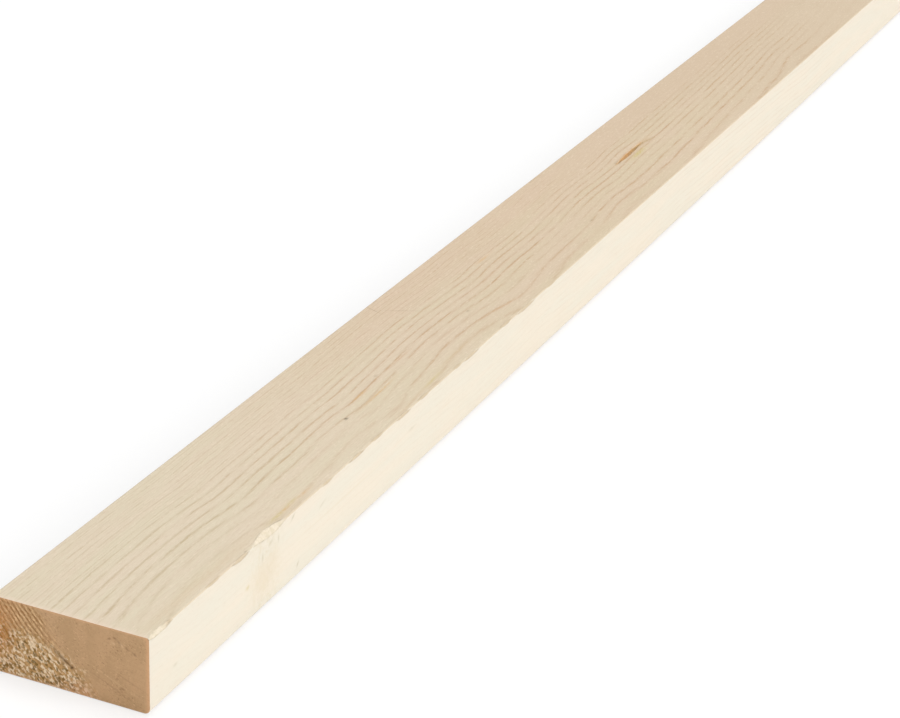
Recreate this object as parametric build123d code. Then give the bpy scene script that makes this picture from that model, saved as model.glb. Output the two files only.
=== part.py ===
from build123d import *
from math import hypot
import os

# A planed softwood plank lying flat. X runs along the grain, Y across the wide face, Z up.
# The origin is at the centre of the underside. Sizes are in millimetres.

# Planed stock, sold as 25 x 50 sawn size
LENGTH = 1800.0
FACE_WIDTH = 44.0
THICKNESS = 21.0

# Arrises, each with its own wear
FAR_ARRIS_RADIUS = 0.6
LOWER_ARRIS_RADIUS = 1.6
HIDDEN_ARRIS_RADIUS = 0.5
SOUND_ARRIS_FLAT = 0.3

# Chips out of the top arris on the -Y side, each one scoop: its middle along from the -X end,
# its length, its reach across the face and its reach down the edge
CHIPS = [
    (5.0, 14.0, 0.9, 1.1),
    (31.0, 13.0, 0.6, 0.4),
    (45.0, 12.0, 0.4, 1.0),
    (60.0, 20.0, 2.0, 1.4),
    (93.0, 10.0, 0.4, 0.7),
    (111.0, 16.0, 0.4, 0.7),
    (124.0, 12.0, 0.8, 0.4),
    (141.0, 14.0, 0.4, 0.9),
    (155.0, 14.0, 0.7, 0.4),
    (179.0, 10.0, 0.7, 0.4),
    (189.0, 16.0, 0.4, 0.9),
    (216.0, 14.0, 0.8, 0.4),
    (232.0, 20.0, 0.4, 1.1),
    (254.0, 18.0, 0.6, 0.4),
]

# Planer tear in the -Y edge, a shallow scoop over its whole height
TEAR_ALONG = 56.0
TEAR_LENGTH = 15.0
TEAR_DEPTH = 0.35

# Open resin pocket in the top face, pointed at both ends
POCKET_ALONG = 389.0
POCKET_FROM_CENTRE = 1.1
POCKET_LENGTH = 32.0
POCKET_WIDTH = 1.7
POCKET_DEPTH = 0.9
POCKET_TILT = 1.6

# How far a cutting form stands out past the surface
OVERRUN = 2.0

NEAR_END = -LENGTH / 2
TOP = THICKNESS
EDGE = -FACE_WIDTH / 2


def scoop_radius(chord, depth):
    """Radius of the arc that is this deep in the middle of its chord."""
    return (chord**2 / 4 + depth**2) / (2 * depth)


def planed_bar():
    """The planed bar, three arrises rounded and the chipped one just broken."""
    blank = Rectangle(FACE_WIDTH, THICKNESS, align=(Align.CENTER, Align.MIN))
    low_edge, low_far, high_far, high_edge = [
        blank.vertices().sort_by_distance(corner)[0]
        for corner in ((EDGE, 0), (-EDGE, 0), (-EDGE, TOP), (EDGE, TOP))
    ]
    section = fillet(low_edge, LOWER_ARRIS_RADIUS)
    section = fillet(section.vertices().sort_by_distance(low_far)[0], HIDDEN_ARRIS_RADIUS)
    section = fillet(section.vertices().sort_by_distance(high_far)[0], FAR_ARRIS_RADIUS)
    section = chamfer(section.vertices().sort_by_distance(high_edge)[0], SOUND_ARRIS_FLAT)
    return extrude(Plane.YZ.offset(NEAR_END) * section, LENGTH)


def chip(along, length, across, down):
    """A drum laid over the arris, whose lowest line joins the chip's reach on both faces."""
    slope = hypot(across, down)
    radius = scoop_radius(length, across * down / slope)
    lowest = Vector(NEAR_END + along, EDGE + across / 2, TOP - down / 2)
    centre = lowest + Vector(0, -down, across) * (radius / slope)
    return Plane(centre, x_dir=(1, 0, 0), z_dir=(0, across, down)) * Cylinder(radius, slope + 2 * OVERRUN)


def planer_tear():
    """A wide drum set upright, so that it scoops the edge over its whole height."""
    radius = scoop_radius(TEAR_LENGTH, TEAR_DEPTH)
    centre = (NEAR_END + TEAR_ALONG, EDGE + TEAR_DEPTH - radius, TOP / 2)
    return Pos(*centre) * Cylinder(radius, THICKNESS + 2 * OVERRUN)


def resin_pocket():
    """A lens seen from above, with a floor that rises to both points."""
    half_length, half_width = POCKET_LENGTH / 2, POCKET_WIDTH / 2
    one_lip = ThreePointArc((-half_length, 0), (0, half_width), (half_length, 0))
    other_lip = ThreePointArc((half_length, 0), (0, -half_width), (-half_length, 0))
    lens = make_face([one_lip, other_lip])
    well = Pos(0, 0, -POCKET_DEPTH) * extrude(lens, POCKET_DEPTH + OVERRUN)
    radius = scoop_radius(POCKET_LENGTH, POCKET_DEPTH)
    drum = Pos(0, 0, radius - POCKET_DEPTH) * Rot(X=90) * Cylinder(radius, POCKET_WIDTH * 2)
    spot = Pos(NEAR_END + POCKET_ALONG, POCKET_FROM_CENTRE, TOP)
    return spot * Rot(Z=POCKET_TILT) * (well & drum)


def plank():
    """One piece of stock with its wear cut into it."""
    piece = planed_bar() - [chip(*size) for size in CHIPS] - planer_tear() - resin_pocket()
    piece.label = "plank"
    return piece


os.makedirs("parts", exist_ok=True)
export_step(plank(), "parts/plank.step")
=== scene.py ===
import math

import bpy
import numpy as np
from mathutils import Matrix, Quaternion, Vector


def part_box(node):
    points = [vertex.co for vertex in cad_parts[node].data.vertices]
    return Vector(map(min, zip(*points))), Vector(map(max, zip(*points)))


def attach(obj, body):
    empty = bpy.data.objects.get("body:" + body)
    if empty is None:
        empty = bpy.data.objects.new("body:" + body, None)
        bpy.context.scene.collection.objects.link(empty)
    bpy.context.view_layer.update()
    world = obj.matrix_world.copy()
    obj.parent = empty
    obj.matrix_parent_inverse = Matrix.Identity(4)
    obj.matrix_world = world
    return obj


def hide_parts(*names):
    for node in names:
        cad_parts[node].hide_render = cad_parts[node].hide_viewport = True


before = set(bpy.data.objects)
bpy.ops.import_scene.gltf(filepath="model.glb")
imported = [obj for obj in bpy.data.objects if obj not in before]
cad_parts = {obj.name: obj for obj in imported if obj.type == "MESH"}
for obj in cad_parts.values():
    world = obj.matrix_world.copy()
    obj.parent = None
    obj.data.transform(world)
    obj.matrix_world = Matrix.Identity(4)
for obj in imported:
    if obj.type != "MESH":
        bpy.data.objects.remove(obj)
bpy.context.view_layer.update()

# Everything is in millimetres until it is written in the frame's metres. Places are counted along
# the plank from the end that the photo shows, and up from the floor. Across it, the skin's are
# counted from its middle and the materials' inward from the near edge.
MM = 0.001
low, high = [[round(value / MM, 3) for value in corner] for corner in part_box("plank")]
NEAR_END, EDGE = low[:2]
FAR_EDGE, THICKNESS = high[1:]
LENGTH = high[0] - NEAR_END

# Arris radii of the solid, and the flat on its chipped arris
LOWER_ARRIS = 1.6
HIDDEN_ARRIS = 0.5
FAR_ARRIS = 0.6
SOUND_ARRIS_FLAT = 0.3

# The solid's chips: middle along, length, reach across the face and reach down the edge
CHIPS = [
    (5.0, 14.0, 0.9, 1.1),
    (31.0, 13.0, 0.6, 0.4),
    (45.0, 12.0, 0.4, 1.0),
    (60.0, 20.0, 2.0, 1.4),
    (93.0, 10.0, 0.4, 0.7),
    (111.0, 16.0, 0.4, 0.7),
    (124.0, 12.0, 0.8, 0.4),
    (141.0, 14.0, 0.4, 0.9),
    (155.0, 14.0, 0.7, 0.4),
    (179.0, 10.0, 0.7, 0.4),
    (189.0, 16.0, 0.4, 0.9),
    (216.0, 14.0, 0.8, 0.4),
    (232.0, 20.0, 0.4, 1.1),
    (254.0, 18.0, 0.6, 0.4),
]

# How much wood must be lost before it counts as torn, and how much deeper torn wood goes at random
TORN_LOSS = (0.02, 0.08)
RAGGED_DEPTH, RAGGED_SEED = 0.1, 11

# Planer tear in the near edge
TEAR_ALONG, TEAR_LENGTH, TEAR_DEPTH = 56, 15, 0.35

# Resin pocket in the top face
POCKET_ALONG, POCKET_ACROSS = 389, 1.1
POCKET_LENGTH, POCKET_WIDTH, POCKET_DEPTH = 32, 1.7, 0.9
POCKET_TILT = math.radians(1.6)

# The skin's cross-sections, as runs with a start, an end and a step, then the spacing of its points
# round them, and how wide it is fine at the chips, the far arrises, the floor and the pocket
STATION_RUNS = [(0, 300, 1), (300, 660, 2), (660, LENGTH, 15)]
COARSE, FINE = 2.0, 0.25
FINE_AT_CHIPS, FINE_AT_FAR_ARRIS, FINE_AT_FLOOR, FINE_BESIDE_POCKET = 3.5, 1, 2, 2

# Growth rings: the pith lies outside the near edge and above the top face, and drifts. Each span is
# where along the plank the drift happens.
PITH_OUT, PITH_ABOVE = 5.8, 24.4
PITH_OUT_DRIFT, OUT_DRIFT_SPAN = -11, (280, 1000)
PITH_DOWN_DRIFT, DOWN_DRIFT_SPAN = -11, (120, 980)
# Sways of the grain: middle along the plank, half length, outward and upward push of the pith
SWAYS = [
    (-5, 22, -1.7, 3.7),
    (72, 14, -0.1, 1.7),
    (98, 20, 0.0, 0.9),
    (142, 12, -0.8, 1.5),
    (196, 25, 0.0, -1.8),
    (243, 15, -0.2, 1.2),
    (286, 18, 1.5, -1.1),
    (336, 20, -0.2, -1.3),
    (388, 12, -1.5, 0.9),
    (545, 20, 0.0, -1.0),
    (760, 30, -0.8, 1.2),
    (905, 22, 1.0, -1.6),
    (1120, 40, 0.8, 1.5),
    (1330, 25, -1.0, -1.3),
    (1580, 45, 0.6, 1.8),
]
# Distance from the pith of the ring that counting starts at, and the rings' width
FIRST_RING, RING_WIDTH = 27.06, 2.18
# Distance from the pith at which the close outer rings start, and their width
CLOSE_RINGS_FROM, CLOSE_RING_WIDTH = 42.3, 1.5
# Picks which rings are dark and which are faint
RING_SEED = 3.0

# Spans over which a tint or a line comes in, or goes out where the second number is the lower.
# Where the photo's ring lines fade: a curl, the outer wood, a smooth stretch and beside the arris
CURL_MIDDLE, CURL_REACH = 305.0, 12.0
OUTER_FROM, OUTER_UNTIL, OUTER_IN = (330, 365), (700, 660), (31, 36)
SMOOTH_FROM, SMOOTH_UNTIL = (555, 615), (760, 690)
BESIDE_ARRIS, BESIDE_ARRIS_UNTIL = (11, 4), (420, 330)
# Where the top face is tanned, dusky, darker on its far side and pink
TANNED_FROM = (40, 330)
DUSKY_FROM = (400, 560)
FAR_SIDE_FROM, FAR_SIDE_IN = (300, 480), (22, 36)
PINK_FROM, PINK_UNTIL, PINK_IN = (110, 200), (700, 600), (27, 36)
# Where the ring lines get stronger and browner and the fibres get stronger
RINGS_STRONGER, RINGS_BROWNER, FIBRES_STRONGER = (40, 260), (30, 150), (60, 220)
# Where the chips are fresh and given painted light, and where the resin turns bright and then dull
FRESH_LIT_FROM, FRESH_LIT_UNTIL, FRESH_LIT_AT_END = (48, 51), (74, 70), (10, 6)
RESIN_BRIGHT, RESIN_DULL = (376, 383), (388, 399)
# The top face is above this, the near edge within this, and the photographed end before this
TOP_ABOVE, NEAR_WITHIN, NEAR_END_BEFORE = (10, 12), (12, 10), (900, 890)
# How squarely a surface faces up or across to count as that face, and how much the arris does
SQUARE_ON = (0.75, 0.97)
ARRIS_ACROSS, ARRIS_UP, ARRIS_ABOVE, ARRIS_WITHIN = (0.3, 0.6), (0.25, 0.5), (18, 19), (6, 4)
# Middle and reach of the tear's tint along the near edge
TEAR_TINT_MIDDLE, TEAR_TINT_REACH = 58.0, 8.0

# Pale lip that the saw left on the top face, and the pale rim of the sawn end beside the near edge
# and along the top face and the floor
SAWN_LIP_REACH = 1.1
END_RIM_IN, END_RIM_REACH = (0.2, 0.8), 0.5

# Torn patch of the sawn end, part of an oval: its middle, its reaches inward and up, and the squares
# of the shares of the reach between which it comes in
TORN_END_MIDDLE = (42.0, -1.0)
TORN_END_REACH = (26.0, 15.0)
TORN_END_FADE = (1.2, 0.7)
# Saw ridges start this far in at the top face and this much nearer for each step down, over a span.
# They and the finer scratches beside them are turned by these degrees from the floor.
RIDGES_FROM, RIDGES_SPAN, RIDGE_SLOPE = 29.0, 6, 0.6
RIDGE_TURN, SCRATCH_TURN = 44, 28
# Broad tints of the end, with their middle and reach inward and up
OCHRE_IN, OCHRE_UP = (42.0, 4.0), (12.0, 8.0)
ROSY_IN, ROSY_UP = (17.0, 6.0), (1.0, 2.5)
# How far from a texture the same texture is taken again, so that the two don't agree
SPECK_SHIFT, SCRATCH_SHIFT, PIT_SHIFT = 40.0, 30.0, 80.0

# Height of each wood's relief, its specular level, and the roughness of the sawn end
PLANED_RELIEF, SAWN_RELIEF = 0.06, 0.25
PLANED_SPECULAR, SAWN_SPECULAR = 0.35, 0.2
SAWN_ROUGHNESS = 0.85

# Tints as they look on the screen, from 0 to 255. First the planed wood's, pairs being mottled
PALE_WOOD = ((213, 198, 175), (211, 199, 174))
TANNED_WOOD = ((206, 186, 160), (204, 187, 158))
# Creamy edge faces: partly the wood's own tone, partly painted sheen
CREAMY_EDGE_SHEEN = ((218, 208, 191), (215, 208, 192))
DUSKY_WOOD = (201, 182, 155)
FAR_SIDE_WOOD = (195, 176, 148)
PINK_WOOD = (206, 180, 155)
OLIVE_RING = (174, 154, 116)
BROWN_RING = (182, 148, 112)
DARK_FIBRE = (188, 166, 138)
DARK_GRIT = (194, 168, 142)
PALE_SPECK = (224, 208, 187)
# Painted shade in the planer tear's hollows, and a painted highlight on its crests
TEAR_HOLLOW_SHADE = (208, 196, 168)
TEAR_CREST_HIGHLIGHT = (226, 214, 198)
# Painted shade on the arris facet and on the chips other than the fresh ones, which are pale fresh wood
# with painted light
ARRIS_SHADE = (204, 188, 164)
SHADED_CHIP = (198, 180, 152)
FRESH_LIT_CHIP = ((222, 210, 190), (212, 200, 176))
SAWN_LIP = (228, 206, 186)
RESIN_RIM = (200, 162, 114)
RESIN_DARK = (150, 112, 66)
RESIN_AMBER = (190, 142, 80)
RESIN_GUM = (172, 140, 88)
RESIN_STREAK = (140, 104, 60)
# The sawn end's
SAWN_WOOD = ((200, 162, 122), (192, 156, 116))
DARK_END_GRAIN = (160, 122, 84)
DARK_SCRATCH = (140, 102, 66)
PALE_SCRATCH = (228, 190, 150)
RIDGED_WOOD = (200, 156, 104)
DARK_RIDGE = (140, 92, 44)
# Painted highlight on the raised beads and painted shade in their dips
PALE_BEAD_HIGHLIGHT = (244, 206, 156)
BEAD_SHADE = (156, 104, 50)
TORN_WOOD = (204, 160, 102)
TORN_RIDGE = (150, 108, 56)
# Pale torn tufts with a painted highlight, and painted shade in the pits
PALE_TUFT_HIGHLIGHT = (250, 226, 192)
PIT_SHADE = (126, 96, 42)
OCHRE = (196, 122, 56)
ROSY = (214, 150, 116)
END_RIM = (232, 180, 136)
# The marks'
DARK_KNOT = (84, 74, 52)
FLECK = (150, 130, 100)
TAN = (198, 174, 140)
AMBER = (202, 164, 112)
RUST = (190, 150, 112)
OLIVE = (194, 176, 114)
GUM = (166, 134, 84)
PITCH = (130, 98, 56)
EDGE_FLECK = (184, 174, 148)
EDGE_TAN = (212, 198, 174)
SAW_SCAR = (132, 104, 70)
DARK_SCAR = (92, 62, 36)
BRUISE = (134, 98, 64)
PALE_SCAR = (222, 186, 146)

# Marks, each a soft oval: place, half length, half width, turn in degrees, tint and strength. On the
# top face a place is (along, in from the near edge), on the near edge (along, up), and on the sawn
# end (in from the near edge, up).
TOP_MARKS = [
    ((130.0, 13.0), 0.8, 0.5, 0, DARK_KNOT, 0.9),
    ((160.5, 18.5), 0.8, 0.4, 0, FLECK, 0.55),
    ((219.0, 14.5), 0.9, 0.4, 0, FLECK, 0.55),
    ((315.0, 9.5), 1.2, 0.5, 0, FLECK, 0.5),
    ((48.0, 0.5), 0.6, 0.3, 0, FLECK, 0.7),
    ((146.0, 16.5), 4.5, 0.5, 0, AMBER, 0.7),
    ((150.0, 12.5), 10, 0.4, 2, AMBER, 0.75),
    ((175.0, 17.5), 8, 0.3, 1, RUST, 0.6),
    ((262.0, 28.0), 4.5, 0.5, 0, AMBER, 0.7),
    ((228.0, 6.5), 9, 0.5, -10, RUST, 0.55),
    ((188.0, 4.5), 12, 0.6, 2, TAN, 0.7),
    ((166.0, 2.5), 6, 0.5, 3, OLIVE, 0.6),
    ((150.0, 1.5), 12, 0.5, 4, TAN, 0.7),
    # Tan band along the arris: the wood's own tone, deepened by painted shade where the edge falls away
    ((30.0, 3.0), 32, 1.6, 0, TAN, 0.35),
    ((69.0, 2.5), 4, 0.6, 1, OLIVE, 0.7),
    ((73.5, 2.5), 2.5, 0.5, 0, AMBER, 0.6),
    ((77.5, 3.0), 3, 0.6, 0, OLIVE, 0.55),
    ((84.0, 2.5), 4, 0.5, 0, AMBER, 0.5),
    ((205.0, 41.0), 3, 0.25, 68, FLECK, 0.5),
    ((209.0, 32.5), 6, 0.2, -62, FLECK, 0.5),
    ((392.0, 23.0), 16, 1.1, 1, AMBER, 0.6),
    ((377.0, 23.0), 2.5, 0.8, 0, PITCH, 0.6),
    ((400.0, 23.0), 5, 0.7, -2, GUM, 0.9),
    ((407.0, 22.0), 3.5, 0.6, -9, GUM, 0.7),
    ((391.0, 20.0), 7, 0.9, 2, OLIVE, 1.0),
]
EDGE_MARKS = [
    ((48.5, 10.5), 1.0, 0.6, 0, OLIVE, 0.5),
    ((76.0, 4.0), 0.9, 0.4, 50, EDGE_FLECK, 0.7),
    ((73.0, 19.5), 1.2, 0.35, 35, EDGE_FLECK, 0.7),
    ((57.0, 15.0), 0.35, 1.4, 0, EDGE_FLECK, 0.5),
    ((65.0, 17.0), 0.35, 1.0, 0, EDGE_FLECK, 0.6),
    ((61.0, 17.5), 1.2, 0.6, 30, EDGE_FLECK, 0.4),
    ((57.0, 9.0), 5.0, 4.5, 0, EDGE_TAN, 0.6),
    ((62.5, 12.5), 3.0, 4.0, 0, EDGE_TAN, 0.4),
    ((12.0, 7.5), 1.0, 0.5, 0, EDGE_FLECK, 0.35),
    ((90.0, 15.5), 2.0, 0.4, 20, EDGE_FLECK, 0.35),
    ((147.0, 14.0), 2.5, 0.4, 0, EDGE_FLECK, 0.35),
    ((105.0, 11.5), 26, 0.3, 0, EDGE_TAN, 0.5),
]
END_MARKS = [
    ((25.0, 8.5), 3.5, 0.8, 36, PALE_SCAR, 0.5),
    ((24.5, 9.0), 3.0, 0.6, 36, SAW_SCAR, 0.8),
    ((23.0, 8.0), 1.6, 0.3, 36, DARK_SCAR, 0.7),
    ((21.5, 7.0), 0.45, 0.4, 0, DARK_SCAR, 0.95),
    ((9.5, 18.5), 0.5, 0.25, 20, BRUISE, 0.8),
    ((8.0, 17.5), 0.9, 0.25, 35, DARK_SCAR, 0.5),
    ((7.5, 17.0), 0.8, 0.3, 50, PALE_SCAR, 0.8),
    ((6.0, 16.5), 0.5, 0.25, 40, BRUISE, 0.8),
    ((4.0, 15.5), 0.7, 0.25, 35, DARK_SCAR, 0.6),
    ((11.0, 18.0), 0.4, 0.3, 0, BRUISE, 0.7),
    ((10.0, 17.0), 0.5, 0.4, 30, PALE_SCAR, 0.5),
    ((7.5, 5.0), 0.6, 0.4, 0, BRUISE, 0.6),
    ((8.5, 6.0), 8.5, 0.2, 23, PALE_SCAR, 0.35),
    ((10.0, 4.5), 6.5, 0.2, 24, BRUISE, 0.3),
    ((5.5, 7.5), 5.0, 0.2, 22, BRUISE, 0.25),
]

# The stage is in metres and watts. The floor lies just under the plank. The fade is how much of it
# shows as plain white when it is looked at, and the shadow shows in the rest.
FLOOR_SIZE, FLOOR_DROP, FLOOR_WHITE = 60, 0.0002, 0.97
SHADOW_FADE = 0.6
SKY_STRENGTH = 0.52
# Soft lights: name, place, width and strength
LIGHTS = [
    ("key", (-1.2, -4.5, 2.6), 3.0, 172),
    ("overhead", (0.5, 0.5, 5.0), 4.0, 112),
]
CAMERA_PLACE = (-1.31769, -0.27439, 0.31176)
CAMERA_AZIMUTH = math.radians(23.152)
CAMERA_ELEVATION = math.radians(-24.013)
CAMERA_ROLL = math.radians(2.522)
LENS, SENSOR_WIDTH = 95.163, 36
NEAREST_SEEN, FARTHEST_SEEN = 0.05, 100

# Sharpest turn in degrees between two faces that still shades smooth
SMOOTH_ANGLE = 32
# Sockets of Blender's mix node that hold colours
FIRST_COLOUR, SECOND_COLOUR, MIXED_COLOUR = 6, 7, 2
# Stands in for a width of nothing
TINY = 1e-6


def bell(distance, reach):
    """1 in the middle, falling smoothly to nothing over about twice the reach."""
    return np.exp(-((distance / reach) ** 2))


def ramp(value, start, end):
    """Smooth rise from 0 at start to 1 at end."""
    part = np.clip((value - start) / (end - start), 0, 1)
    return part * part * (3 - 2 * part)


def arc_drop(distance, chord, depth):
    """Depth of a circular hollow at this distance from its middle."""
    radius = (chord**2 / 4 + depth**2) / (2 * depth)
    inside = np.maximum(radius**2 - distance**2, 0)
    return np.maximum(np.sqrt(inside) - radius + depth, 0)


def growth(along, across, up):
    """Distance from the pith, which sways along the plank, so that every face is cut from one log."""
    out = PITH_OUT + PITH_OUT_DRIFT * ramp(along, *OUT_DRIFT_SPAN)
    above = PITH_ABOVE + PITH_DOWN_DRIFT * ramp(along, *DOWN_DRIFT_SPAN)
    for middle, reach, outward, upward in SWAYS:
        sway = bell(along - middle, reach)
        out = out + outward * sway
        above = above + upward * sway
    return np.hypot(across - (EDGE - out), up - (THICKNESS + above))


def stations():
    """Cross-sections of the skin, closer together where the photo shows the plank."""
    runs = [np.arange(start, end, step) for start, end, step in STATION_RUNS]
    return np.append(np.concatenate(runs), LENGTH)


def columns(start, end, fine_spans):
    """Points between two faces, closer together in the fine spans."""
    points = set(np.arange(start, end, COARSE).tolist() + [end])
    for fine_start, fine_end in fine_spans:
        points |= set(np.arange(fine_start, fine_end + FINE / 2, FINE).tolist())
    return np.array(sorted(points))


def outline():
    """The square section's points in order round it, from the far top arris over the top face, and
    how many there are across and up."""
    chips_across = (EDGE, EDGE + FINE_AT_CHIPS)
    chips_up = (THICKNESS - FINE_AT_CHIPS, THICKNESS)
    far_arris = (FAR_EDGE - FINE_AT_FAR_ARRIS, FAR_EDGE)
    pocket = np.round((POCKET_ACROSS - FINE_BESIDE_POCKET, POCKET_ACROSS + FINE_BESIDE_POCKET))
    across = columns(EDGE, FAR_EDGE, [chips_across, far_arris, pocket])
    up = columns(0, THICKNESS, [(0, FINE_AT_FLOOR), chips_up])
    top = [(y, THICKNESS) for y in across[::-1]]
    near = [(EDGE, z) for z in up[::-1][1:]]
    under = [(y, 0) for y in across[1:]]
    far = [(FAR_EDGE, z) for z in up[1:-1]]
    return np.array(top + near + under + far), len(across), len(up)


def four_sides(loop, wide, tall):
    """Splits what goes round a section into its top, near, under and far sides, each in order
    across or up."""
    top = loop[:wide][::-1]
    near = loop[wide - 1:wide + tall - 1][::-1]
    under = loop[wide + tall - 2:2 * wide + tall - 2]
    far = np.concatenate([loop[2 * wide + tall - 3:], loop[:1]])
    return top, near, under, far


def ease(section):
    """Rounds the three sound arrises of the square section."""
    eased = section.copy()
    sound_arrises = [(EDGE, 0, LOWER_ARRIS), (FAR_EDGE, 0, HIDDEN_ARRIS), (FAR_EDGE, THICKNESS, FAR_ARRIS)]
    for y, z, radius in sound_arrises:
        outward = np.sign([y, z - THICKNESS / 2])
        centre = np.array([y, z]) - outward * radius
        offset = (section - centre) * outward
        inside = (offset > 0).all(axis=1)
        reach = np.hypot(*offset[inside].T)
        eased[inside] = centre + outward * offset[inside] * (radius / reach)[:, None]
    return eased


def chipped_arris(along, section):
    """How far the points go in and down, alike, to the broken arris and its ragged chips, and how
    torn the wood is there."""
    inward, down = section[:, 0] - EDGE, THICKNESS - section[:, 1]
    sound = np.maximum(SOUND_ARRIS_FLAT - inward - down, 0) / 2
    lost = np.tile(sound, (len(along), 1))
    for middle, length, across, deep in CHIPS:
        depth = across * deep / math.hypot(across, deep)
        share = arc_drop(along - middle, length, depth) / depth
        left = share[:, None] - inward / across - down / deep
        lost = np.maximum(lost, left / (1 / across + 1 / deep))
    torn = ramp(lost - sound, *TORN_LOSS)
    ragged = np.random.default_rng(RAGGED_SEED).random(lost.shape) * RAGGED_DEPTH
    return lost + ragged * torn, torn


def resin_pocket(along, section):
    """How far the resin pocket sinks below the top face."""
    across, up = section[:, 0], section[:, 1]
    lengthwise = (along - POCKET_ALONG)[:, None]
    sideways = (across - POCKET_ACROSS)[None, :] - lengthwise * math.tan(POCKET_TILT)
    half_width = arc_drop(lengthwise, POCKET_LENGTH, POCKET_WIDTH / 2)
    floor_depth = arc_drop(lengthwise, POCKET_LENGTH, POCKET_DEPTH)
    across_share = np.clip(1 - (sideways / np.maximum(half_width, TINY)) ** 2, 0, 1)
    return floor_depth * np.sqrt(across_share) * (up >= THICKNESS)


def worn_surface(along, section):
    """The skin's points round each cross-section, and how torn and how deep in resin they are."""
    points = np.empty((len(along), len(section), 3))
    points[..., 0] = (NEAR_END + along)[:, None]
    points[..., 1:] = ease(section)
    lost, torn = chipped_arris(along, section)
    points[..., 1] += lost
    points[..., 2] -= lost
    torn_face = EDGE + arc_drop(along - TEAR_ALONG, TEAR_LENGTH, TEAR_DEPTH)
    points[..., 1] = np.maximum(points[..., 1], torn_face[:, None])
    pocket = resin_pocket(along, section)
    points[..., 2] -= pocket
    return points, {"torn": torn, "resin": pocket / POCKET_DEPTH}


def coons(loop, wide, tall):
    """Fills an end from its outline, so that its grid follows every arris. Rows run up, columns across."""
    top, near, under, far = four_sides(loop, wide, tall)
    u = ((under[:, 1] - under[0, 1]) / (under[-1, 1] - under[0, 1]))[None, :, None]
    v = ((near[:, 2] - near[0, 2]) / (near[-1, 2] - near[0, 2]))[:, None, None]
    ruled = (1 - v) * under + v * top + (1 - u) * near[:, None] + u * far[:, None]
    bottom_corners = (1 - u) * under[0] + u * under[-1]
    top_corners = (1 - u) * top[0] + u * top[-1]
    return ruled - (1 - v) * bottom_corners - v * top_corners


def filled_end(loop, loop_numbers, first_number, wide, tall):
    """The inner points of an end, and its faces, which share the skin's own points round it."""
    inner = coons(loop, wide, tall)[1:-1, 1:-1].reshape(-1, 3)
    number = np.empty((tall, wide), dtype=int)
    number[-1], number[:, 0], number[0], number[:, -1] = four_sides(loop_numbers, wide, tall)
    number[1:-1, 1:-1] = first_number + np.arange(len(inner)).reshape(tall - 2, wide - 2)
    quads = np.stack([number[:-1, :-1], number[1:, :-1], number[1:, 1:], number[:-1, 1:]], -1)
    return inner, quads.reshape(-1, 4)


def skin():
    """Points, faces, which faces are end grain, and what is stored at the points."""
    along = stations()
    section, wide, tall = outline()
    points, wear = worn_surface(along, section)
    rows, around = points.shape[:2]
    index = np.arange(rows * around).reshape(rows, around)
    following = np.roll(index, -1, axis=1)
    long_faces = np.stack([index[:-1], following[:-1], following[1:], index[1:]], -1).reshape(-1, 4)
    vertices, faces = [points.reshape(-1, 3)], [long_faces]
    for row, turned in ((0, False), (rows - 1, True)):
        inner, quads = filled_end(points[row], index[row], sum(map(len, vertices)), wide, tall)
        vertices.append(inner)
        faces.append(quads[:, ::-1] if turned else quads)
    vertices, faces = np.concatenate(vertices), np.concatenate(faces)
    inside_ends = np.zeros(len(vertices) - rows * around)
    stored_values = {name: np.append(values, inside_ends) for name, values in wear.items()}
    x, across, up = vertices.T
    stored_values["growth"] = growth(x - NEAR_END, across, up)
    return vertices, faces, np.arange(len(faces)) >= len(long_faces), stored_values


class Value:
    """A number or a colour in a material. Ordinary arithmetic on it adds the nodes."""

    def __init__(self, tree, socket):
        self.tree = tree
        self.socket = socket

    def math(self, operation, *others):
        """What a math node of this kind makes of the value and the others."""
        node = self.tree.nodes.new("ShaderNodeMath")
        node.operation = operation
        for value, socket in zip((self, *others), node.inputs):
            plug(self.tree, value, socket)
        return Value(self.tree, node.outputs[0])

    def __add__(self, other):
        return self.math("ADD", other)

    def __sub__(self, other):
        return self.math("SUBTRACT", other)

    def __mul__(self, other):
        return self.math("MULTIPLY", other)

    def __truediv__(self, other):
        return self.math("DIVIDE", other)

    __radd__ = __add__

    def __rsub__(self, other):
        return (self * -1) + other

    def bell(self, middle, reach):
        """1 where the value is the middle, falling smoothly over the reach."""
        part = (self - middle) / reach
        return (part * part * -1).math("EXPONENT")

    def ramp(self, start, end):
        """Smooth rise from 0 at start to 1 at end, or fall where end is the lower."""
        node = self.tree.nodes.new("ShaderNodeMapRange")
        node.interpolation_type = "SMOOTHSTEP"
        plug(self.tree, self, node.inputs["Value"])
        node.inputs["From Min"].default_value = min(start, end)
        node.inputs["From Max"].default_value = max(start, end)
        node.inputs["To Min"].default_value = 0.0 if start < end else 1.0
        node.inputs["To Max"].default_value = 1.0 if start < end else 0.0
        return Value(self.tree, node.outputs["Result"])


def plug(tree, value, socket):
    """Puts a number, a colour or another node's output into a socket."""
    if isinstance(value, Value):
        tree.links.new(value.socket, socket)
    else:
        socket.default_value = value


def srgb(red, green, blue):
    """A tint as the linear colour that nodes take."""
    parts = [part / 255 for part in (red, green, blue)]
    linear = [p / 12.92 if p <= 0.04045 else ((p + 0.055) / 1.055) ** 2.4 for p in parts]
    return (*linear, 1.0)


def blend(tree, share, first, second):
    """Mixes two colours, each a tint or a node's colour. A share of 1 is all the second."""
    node = tree.nodes.new("ShaderNodeMix")
    node.data_type = "RGBA"
    plug(tree, share, node.inputs["Factor"])
    for colour, number in ((first, FIRST_COLOUR), (second, SECOND_COLOUR)):
        plug(tree, colour if isinstance(colour, Value) else srgb(*colour), node.inputs[number])
    return Value(tree, node.outputs[MIXED_COLOUR])


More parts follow.
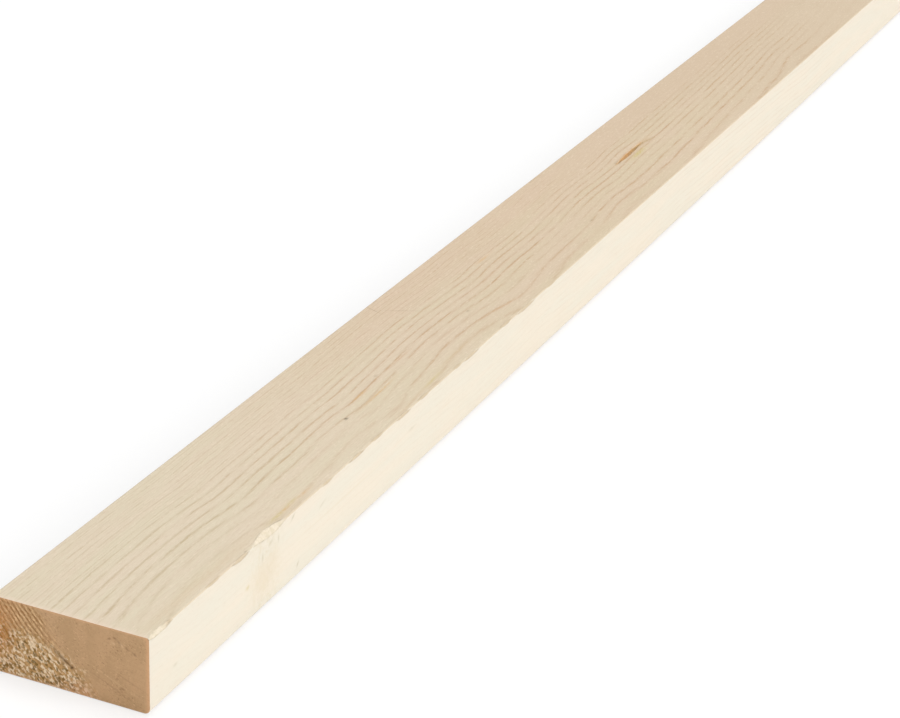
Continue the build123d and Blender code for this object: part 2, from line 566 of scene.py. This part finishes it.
def coordinate(tree, kind):
    """The three parts of one of the texture coordinates."""
    coordinates = tree.nodes.new("ShaderNodeTexCoord")
    split = tree.nodes.new("ShaderNodeSeparateXYZ")
    tree.links.new(coordinates.outputs[kind], split.inputs[0])
    return [Value(tree, part) for part in split.outputs]


def shaded_place(tree):
    """The shaded point in millimetres: along the plank, in from the near edge and up."""
    x, y, z = [part / MM for part in coordinate(tree, "Object")]
    return x - NEAR_END, y - EDGE, z


def facing(tree):
    """How much the surface faces along, across and up, each from 0 to 1."""
    return [part.math("ABSOLUTE") for part in coordinate(tree, "Normal")]


def stored(tree, name):
    """A number stored at the skin's points."""
    node = tree.nodes.new("ShaderNodeAttribute")
    node.attribute_name = name
    return Value(tree, node.outputs["Fac"])


def scaled(tree, where, sizes):
    """The place as a vector in which each of these sizes in millimetres is 1."""
    join = tree.nodes.new("ShaderNodeCombineXYZ")
    for value, size, socket in zip(where, sizes, join.inputs):
        plug(tree, value / size, socket)
    return join.outputs[0]


def noise(tree, where, sizes, detail=2.0, roughness=0.5):
    """Noise around 0.5 whose blots have these sizes in millimetres along, across and up."""
    vector = scaled(tree, where, sizes)
    node = tree.nodes.new("ShaderNodeTexNoise")
    tree.links.new(vector, node.inputs["Vector"])
    node.inputs["Scale"].default_value = 1.0
    node.inputs["Detail"].default_value = detail
    node.inputs["Roughness"].default_value = roughness
    return Value(tree, node.outputs["Fac"])


def tufts(tree, where, sizes):
    """A random shade from 0 to 1 for each of the irregular tufts of these sizes in millimetres."""
    ragged = noise(tree, where, (0.45, 0.45, 0.45), 3.0, 0.7) - 0.5
    vector = scaled(tree, [value + ragged for value in where], sizes)
    node = tree.nodes.new("ShaderNodeTexVoronoi")
    node.feature = "SMOOTH_F1"
    tree.links.new(vector, node.inputs["Vector"])
    node.inputs["Scale"].default_value = 1.0
    node.inputs["Smoothness"].default_value = 0.2
    split = tree.nodes.new("ShaderNodeSeparateColor")
    tree.links.new(node.outputs["Color"], split.inputs[0])
    return Value(tree, split.outputs[0])


def white(tree, value):
    """A random number from 0 to 1, the same wherever the value is the same."""
    node = tree.nodes.new("ShaderNodeTexWhiteNoise")
    node.noise_dimensions = "1D"
    plug(tree, value, node.inputs["W"])
    return Value(tree, node.outputs["Value"])


def slanted(u, v, turn):
    """The same place told along and across a line that is turned by this many degrees."""
    angle = math.radians(turn)
    return u * math.cos(angle) + v * math.sin(angle), v * math.cos(angle) - u * math.sin(angle)


def marked(tree, colour, u, v, marks, where_seen):
    """Lays soft oval marks over a colour, on the faces where they are seen."""
    for (u_middle, v_middle), half_length, half_width, turn, tint, strength in marks:
        lengthwise, sideways = slanted(u - u_middle, v - v_middle, turn)
        oval = lengthwise.bell(0.0, half_length) * sideways.bell(0.0, half_width)
        colour = blend(tree, oval * where_seen * strength, colour, tint)
    return colour


def new_material(name):
    """A new material and its nodes."""
    material = bpy.data.materials.new(name)
    material.use_nodes = True
    return material, material.node_tree


def finish_wood(tree, colour, roughness, specular, height, relief):
    """Gives a wood its colour, its gloss and the relief that its height makes, in millimetres."""
    shader = tree.nodes["Principled BSDF"]
    plug(tree, colour, shader.inputs["Base Color"])
    plug(tree, roughness, shader.inputs["Roughness"])
    shader.inputs["Specular IOR Level"].default_value = specular
    bump = tree.nodes.new("ShaderNodeBump")
    bump.inputs["Distance"].default_value = relief * MM
    bump.inputs["Strength"].default_value = 1.0
    plug(tree, height, bump.inputs["Height"])
    tree.links.new(bump.outputs["Normal"], shader.inputs["Normal"])


def rings(tree, where):
    """Distance from the pith, and the count of rings outward, closer together in the outer wood."""
    wobble = (noise(tree, where, (22, 3, 3)) - 0.5) * 0.7
    jitter = (noise(tree, where, (5, 0.8, 0.8), 3.0) - 0.5) * 0.5
    radius = stored(tree, "growth") + wobble + jitter
    closer = (radius - CLOSE_RINGS_FROM).math("MAXIMUM", 0.0)
    return radius, (radius - FIRST_RING) / RING_WIDTH + closer * (1 / CLOSE_RING_WIDTH - 1 / RING_WIDTH)


def ring_line(number, half):
    """1 on each whole number of rings, falling to 0 at this share of a ring beside it."""
    beside = (number + 0.5).math("FRACT") - 0.5
    return beside.math("ABSOLUTE").ramp(half, 0.0)


def latewood(tree, where):
    """0 in the pale early wood and up to 1 in the dark late wood of each ring."""
    radius, number = rings(tree, where)
    ring = (number + 0.5).math("FLOOR")
    strength = white(tree, ring + RING_SEED) * 0.6 + 0.4
    dashes = noise(tree, where, (10, 0.9, 0.9), 4.0, 0.6).ramp(0.36, 0.6) * 0.8 + 0.2
    main = (ring_line(number, 0.17) * 0.75 + ring_line(number, 0.42) * 0.25) * strength * dashes
    outer = radius.ramp(CLOSE_RINGS_FROM - 0.5, CLOSE_RINGS_FROM + 1)
    faint = ring_line(number * 2, 0.3) * 0.22 * dashes
    return main * (1 - outer * 0.6) + faint * outer


def quiet_stretches(along, inward):
    """1, less where the photo's ring lines fade."""
    curl = along.bell(CURL_MIDDLE, CURL_REACH) * 0.6
    outer = along.ramp(*OUTER_FROM) * along.ramp(*OUTER_UNTIL) * inward.ramp(*OUTER_IN)
    smooth = along.ramp(*SMOOTH_FROM) * along.ramp(*SMOOTH_UNTIL) * 0.85
    beside_arris = inward.ramp(*BESIDE_ARRIS) * along.ramp(*BESIDE_ARRIS_UNTIL) * 0.55
    return (1 - curl) * (1 - outer * 0.8) * (1 - smooth) * (1 - beside_arris)


def ground_tint(tree, where, edge_face):
    """Planed wood without its grain: pale, warmer farther from the near end, and creamy on edge, partly
    its own tone and partly painted sheen.
    """
    along, inward, _ = where
    mottle = noise(tree, where, (45, 6, 6), 3.0).ramp(0.35, 0.65)
    pale = blend(tree, mottle, *PALE_WOOD)
    tanned = blend(tree, mottle, *TANNED_WOOD)
    colour = blend(tree, along.ramp(*TANNED_FROM), pale, tanned)
    colour = blend(tree, along.ramp(*DUSKY_FROM), colour, DUSKY_WOOD)
    far_side = inward.ramp(*FAR_SIDE_IN) * along.ramp(*FAR_SIDE_FROM)
    colour = blend(tree, far_side * 0.6, colour, FAR_SIDE_WOOD)
    pink_band = inward.ramp(*PINK_IN) * along.ramp(*PINK_FROM) * along.ramp(*PINK_UNTIL)
    colour = blend(tree, pink_band * 0.35, colour, PINK_WOOD)
    # The edge faces' creamy tone is partly painted sheen
    creamy = blend(tree, mottle, *CREAMY_EDGE_SHEEN)
    return blend(tree, edge_face, colour, creamy)


def grain_tint(tree, colour, where, late, fibre, edge_face, top_face):
    """Lays ring lines, fibres, dark grit and pale specks over the ground, fainter on the edges."""
    along, inward, up = where
    late_tint = blend(tree, along.ramp(*RINGS_BROWNER), OLIVE_RING, BROWN_RING)
    stronger = along.ramp(*RINGS_STRONGER) * 0.26 + 0.72
    colour = blend(tree, late * stronger, colour, late_tint)
    fibre_strength = 0.28 + along.ramp(*FIBRES_STRONGER) * 0.1 - edge_face * 0.24
    colour = blend(tree, fibre.ramp(0.42, 0.7) * fibre_strength, colour, DARK_FIBRE)
    grit = noise(tree, where, (2.2, 0.5, 0.5), 3.0, 0.65)
    colour = blend(tree, grit.ramp(0.5, 0.7) * (0.28 - edge_face * 0.16), colour, DARK_GRIT)
    speck = noise(tree, (along + SPECK_SHIFT, inward, up), (1.8, 0.45, 0.45), 3.0, 0.65)
    return blend(tree, speck.ramp(0.52, 0.72) * top_face * 0.5, colour, PALE_SPECK)


def tear_tint(tree, colour, tear_patch, ragged):
    """Paints shade into the hollows of the planer tear's ragged wood and a highlight onto its crests."""
    colour = blend(tree, tear_patch * ragged.ramp(0.45, 0.65) * 0.5, colour, TEAR_HOLLOW_SHADE)
    return blend(tree, tear_patch * ragged.ramp(0.45, 0.3) * 0.4, colour, TEAR_CREST_HIGHLIGHT)


def arris_tint(tree, colour, along, arris, torn, ragged):
    """Paints shade on the arris facet and on the other chips, and leaves the fresh chips pale, partly
    fresh wood and partly painted light.
    """
    fresh_lit = along.ramp(*FRESH_LIT_FROM) * along.ramp(*FRESH_LIT_UNTIL) + along.ramp(*FRESH_LIT_AT_END)
    # Painted shade on the arris facet and the other chips, and painted light on the fresh chips
    colour = blend(tree, arris * (1 - fresh_lit) * 0.7, colour, ARRIS_SHADE)
    colour = blend(tree, torn * (1 - fresh_lit) * 0.85, colour, SHADED_CHIP)
    fresh_lit_wood = blend(tree, ragged.ramp(0.4, 0.6), *FRESH_LIT_CHIP)
    return blend(tree, torn * fresh_lit * 0.9, colour, fresh_lit_wood)


def resin_tint(tree, colour, along, resin, ragged):
    """Fills the pocket with resin, dark at its near point, then amber, then dull."""
    amber = blend(tree, along.ramp(*RESIN_BRIGHT), RESIN_DARK, RESIN_AMBER)
    amber = blend(tree, along.ramp(*RESIN_DULL), amber, RESIN_GUM)
    amber = blend(tree, ragged.ramp(0.46, 0.6) * 0.35, amber, RESIN_STREAK)
    colour = blend(tree, resin.ramp(0.05, 0.25) * 0.8, colour, RESIN_RIM)
    return blend(tree, resin.ramp(0.2, 0.5), colour, amber)


def planed_wood():
    """Pale planed softwood along the grain, with the wear of its faces."""
    material, tree = new_material("planed_softwood")
    where = shaded_place(tree)
    along, inward, up = where
    _, across_share, up_share = facing(tree)
    edge_face = across_share.ramp(*SQUARE_ON)
    top_face = up_share.ramp(*SQUARE_ON) * up.ramp(*TOP_ABOVE)
    near_edge_face = edge_face * inward.ramp(*NEAR_WITHIN)
    arris = across_share.ramp(*ARRIS_ACROSS) * up_share.ramp(*ARRIS_UP)
    arris = arris * up.ramp(*ARRIS_ABOVE) * inward.ramp(*ARRIS_WITHIN)
    torn = stored(tree, "torn")
    resin = stored(tree, "resin")
    late = latewood(tree, where) * quiet_stretches(along, inward) * (1 - edge_face * 0.8)
    fibre = noise(tree, where, (16, 0.3, 0.3), 4.0, 0.6)
    ragged = noise(tree, where, (1.4, 1.6, 1.9), 4.0, 0.7)
    tear_patch = along.bell(TEAR_TINT_MIDDLE, TEAR_TINT_REACH) * near_edge_face

    colour = ground_tint(tree, where, edge_face)
    colour = grain_tint(tree, colour, where, late, fibre, edge_face, top_face)
    colour = tear_tint(tree, colour, tear_patch, ragged)
    colour = arris_tint(tree, colour, along, arris, torn, ragged)
    sawn_lip = along.bell(0.0, SAWN_LIP_REACH) * (noise(tree, where, (9, 1.2, 9)) + 0.1)
    colour = blend(tree, sawn_lip * top_face * 0.8, colour, SAWN_LIP)
    patchy = noise(tree, where, (1.6, 0.5, 0.5), 2.0, 0.6).ramp(0.4, 0.56)
    colour = marked(tree, colour, along, inward, TOP_MARKS, top_face * (patchy * 0.5 + 0.5))
    colour = marked(tree, colour, along, up, EDGE_MARKS, near_edge_face)
    colour = resin_tint(tree, colour, along, resin, ragged)

    roughness = 0.6 + late * 0.1 + torn * 0.2 - resin.ramp(0.1, 0.5) * 0.3
    height = late * 0.6 + fibre + ragged * (torn + tear_patch) * 5
    finish_wood(tree, colour, roughness, PLANED_SPECULAR, height, PLANED_RELIEF)
    return material


def end_ground_tint(tree, where, grain, near_end):
    """Sawn wood with its pores, scuffed on the photographed end by fine scratches."""
    along, inward, up = where
    broad = noise(tree, where, (5, 5, 5), 2.0)
    colour = blend(tree, broad.ramp(0.35, 0.65), *SAWN_WOOD)
    colour = blend(tree, grain.ramp(0.5, 0.75) * 0.4, colour, DARK_END_GRAIN)
    scratched = (along, *slanted(inward, up + SCRATCH_SHIFT, SCRATCH_TURN))
    flecks = noise(tree, scratched, (1, 0.7, 0.35), 2.0, 0.6)
    scuffed = noise(tree, where, (1, 6, 5), 2.0).ramp(0.32, 0.58) * near_end
    colour = blend(tree, scuffed * flecks.ramp(0.42, 0.3) * 0.6, colour, DARK_SCRATCH)
    return blend(tree, scuffed * flecks.ramp(0.58, 0.7) * 0.6, colour, PALE_SCRATCH)


def ridge_tint(tree, colour, where, sawn, grain, broken, near_end):
    """Raises the rings into saw ridges with pale beads between them, painting a highlight on the raised
    beads and shade in their dips. Also gives where rings lie, how strong their ridges are and how strong
    the beads."""
    _, inward, up = where
    _, number = rings(tree, where)
    beads = noise(tree, sawn, (1, 1.5, 0.4), 1.5, 0.6)
    ring = ring_line(number * 1.25 + (grain - 0.5) * 0.9, 0.45)
    ragged_limit = (noise(tree, sawn, (1, 4, 1.2), 3.0) - 0.5) * 10
    ridge_side = inward + (THICKNESS - up) * RIDGE_SLOPE + ragged_limit
    ridged = ridge_side.ramp(RIDGES_FROM, RIDGES_FROM + RIDGES_SPAN) * near_end
    ridge = ring * (ridged * (broken * 0.5 + 0.25) + 0.04)
    colour = blend(tree, ridged * 0.35, colour, RIDGED_WOOD)
    colour = blend(tree, ridge, colour, DARK_RIDGE)
    between = (1 - ring) * (broken * 0.7 + 0.3)
    colour = blend(tree, beads.ramp(0.44, 0.6) * between * ridged * 0.9, colour, PALE_BEAD_HIGHLIGHT)
    colour = blend(tree, beads.ramp(0.42, 0.32) * ridged * 0.45, colour, BEAD_SHADE)
    return colour, ring, ridge, beads * ridged


def torn_end_tint(tree, colour, where, sawn, ring, broken, near_end):
    """Covers the torn patch with pale tufts, partly a painted highlight, and pits darkened by painted
    shade. Also gives where it is and its relief.
    """
    along, inward, up = where
    sideways = (inward - TORN_END_MIDDLE[0]) / TORN_END_REACH[0]
    upward = (up - TORN_END_MIDDLE[1]) / TORN_END_REACH[1]
    ragged_rim = (noise(tree, where, (1, 2, 2), 3.0) - 0.5) * 0.9
    torn = (sideways * sideways + upward * upward + ragged_rim).ramp(*TORN_END_FADE) * near_end
    light = tufts(tree, sawn, (1, 0.85, 0.5))
    pits = tufts(tree, (along, sawn[1] + PIT_SHIFT, sawn[2]), (1, 0.75, 0.55))
    colour = blend(tree, torn * 0.7, colour, TORN_WOOD)
    colour = blend(tree, torn * ring * broken * 0.4, colour, TORN_RIDGE)
    colour = blend(tree, torn * light.ramp(0.4, 0.8) * 0.95, colour, PALE_TUFT_HIGHLIGHT)
    colour = blend(tree, torn * pits.ramp(0.28, 0.12) * 0.85, colour, PIT_SHADE)
    return colour, torn, (light + pits) * torn


def end_grain_wood():
    """The sawn end, darker and more orange because it drinks the light in."""
    material, tree = new_material("sawn_end_grain")
    where = shaded_place(tree)
    along, inward, up = where
    near_end = along.ramp(*NEAR_END_BEFORE)
    grain = noise(tree, where, (1, 0.5, 0.5), 4.0, 0.65)
    broken = noise(tree, where, (1, 0.8, 0.8), 3.0, 0.75).ramp(0.38, 0.58)
    sawn = (along, *slanted(inward, up, RIDGE_TURN))

    colour = end_ground_tint(tree, where, grain, near_end)
    colour, ring, ridge, beads = ridge_tint(tree, colour, where, sawn, grain, broken, near_end)
    colour, torn, torn_relief = torn_end_tint(tree, colour, where, sawn, ring, broken, near_end)
    ochre = inward.bell(*OCHRE_IN) * up.bell(*OCHRE_UP) * near_end
    colour = blend(tree, ochre * (broken * 0.4 + 0.2), colour, OCHRE)
    rosy = inward.bell(*ROSY_IN) * up.bell(*ROSY_UP) * near_end
    colour = blend(tree, rosy * torn * 0.4, colour, ROSY)
    top_rim, floor_rim = up.bell(THICKNESS, END_RIM_REACH), up.bell(0.0, END_RIM_REACH)
    rim = inward.bell(*END_RIM_IN) + top_rim * 0.7 + floor_rim * torn
    colour = blend(tree, rim.math("MINIMUM", 1.0) * near_end * 0.55, colour, END_RIM)
    colour = marked(tree, colour, inward, up, END_MARKS, near_end * (broken * 0.3 + 0.7))

    height = grain * 0.4 - ridge * 0.6 + (beads + torn_relief) * 0.5
    finish_wood(tree, colour, SAWN_ROUGHNESS, SAWN_SPECULAR, height, SAWN_RELIEF)
    return material


def plank():
    """The dressed plank, one closed skin of planed wood with end grain on both ends."""
    vertices, faces, end_grain, stored_values = skin()
    mesh = bpy.data.meshes.new("plank_wood")
    mesh.from_pydata(vertices * MM, [], faces.tolist())
    mesh.materials.append(planed_wood())
    mesh.materials.append(end_grain_wood())
    mesh.polygons.foreach_set("material_index", end_grain.astype(np.int32))
    mesh.polygons.foreach_set("use_smooth", np.ones(len(faces), dtype=bool))
    for name, values in stored_values.items():
        mesh.attributes.new(name, "FLOAT", "POINT").data.foreach_set("value", values.astype(np.float32))
    mesh.update()
    mesh.set_sharp_from_angle(angle=math.radians(SMOOTH_ANGLE))
    piece = bpy.data.objects.new("plank_wood", mesh)
    bpy.context.collection.objects.link(piece)
    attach(piece, "root")
    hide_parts("plank")


def seen(tree):
    """1 where the surface or sky is looked at, straight or in a gloss, and 0 where it gives light."""
    path = tree.nodes.new("ShaderNodeLightPath")
    kinds = ("Is Camera Ray", "Is Glossy Ray", "Is Transmission Ray")
    camera_ray, glossy_ray, through_ray = [Value(tree, path.outputs[kind]) for kind in kinds]
    return camera_ray.math("MAXIMUM", glossy_ray).math("MAXIMUM", through_ray)


def floor():
    """A plain white floor, larger than any view, on which the shadow shows faintly."""
    bpy.ops.mesh.primitive_plane_add(size=FLOOR_SIZE, location=(0, 0, -FLOOR_DROP))
    ground = bpy.context.object
    ground.name = "floor"
    material, tree = new_material("floor_white")
    shader = tree.nodes["Principled BSDF"]
    shader.inputs["Base Color"].default_value = (FLOOR_WHITE, FLOOR_WHITE, FLOOR_WHITE, 1)
    shader.inputs["Roughness"].default_value = 1.0
    shader.inputs["Specular IOR Level"].default_value = 0.0
    glow = tree.nodes.new("ShaderNodeEmission")
    mix = tree.nodes.new("ShaderNodeMixShader")
    plug(tree, seen(tree) * SHADOW_FADE, mix.inputs[0])
    tree.links.new(shader.outputs[0], mix.inputs[1])
    tree.links.new(glow.outputs[0], mix.inputs[2])
    tree.links.new(mix.outputs[0], tree.nodes["Material Output"].inputs["Surface"])
    ground.data.materials.append(material)


def sky():
    """Even white light from all round, and a white background wherever it is looked at."""
    world = bpy.data.worlds.new("studio")
    world.use_nodes = True
    bpy.context.scene.world = world
    tree = world.node_tree
    background = tree.nodes["Background"]
    background.inputs["Color"].default_value = (1, 1, 1, 1)
    plug(tree, seen(tree) * (1 - SKY_STRENGTH) + SKY_STRENGTH, background.inputs["Strength"])


def area_light(name, place, size, watts):
    """A soft square light aimed at the plank's middle."""
    light = bpy.data.lights.new(name, "AREA")
    light.size = size
    light.energy = watts
    lamp = bpy.data.objects.new(name, light)
    lamp.location = place
    lamp.rotation_euler = (-Vector(place)).to_track_quat("-Z", "Y").to_euler()
    bpy.context.collection.objects.link(lamp)


def camera():
    """The photograph's camera."""
    data = bpy.data.cameras.new("camera")
    data.lens = LENS
    data.sensor_width = SENSOR_WIDTH
    data.clip_start = NEAREST_SEEN
    data.clip_end = FARTHEST_SEEN
    eye = bpy.data.objects.new("camera", data)
    level = math.cos(CAMERA_ELEVATION)
    forward = Vector((
        level * math.cos(CAMERA_AZIMUTH),
        level * math.sin(CAMERA_AZIMUTH),
        math.sin(CAMERA_ELEVATION),
    ))
    eye.location = CAMERA_PLACE
    eye.rotation_mode = "QUATERNION"
    roll = Quaternion((0, 0, 1), CAMERA_ROLL)
    eye.rotation_quaternion = forward.to_track_quat("-Z", "Y") @ roll
    bpy.context.collection.objects.link(eye)
    bpy.context.scene.camera = eye


plank()
floor()
sky()
for light_values in LIGHTS:
    area_light(*light_values)
camera()
bpy.context.scene.view_settings.view_transform = "Standard"
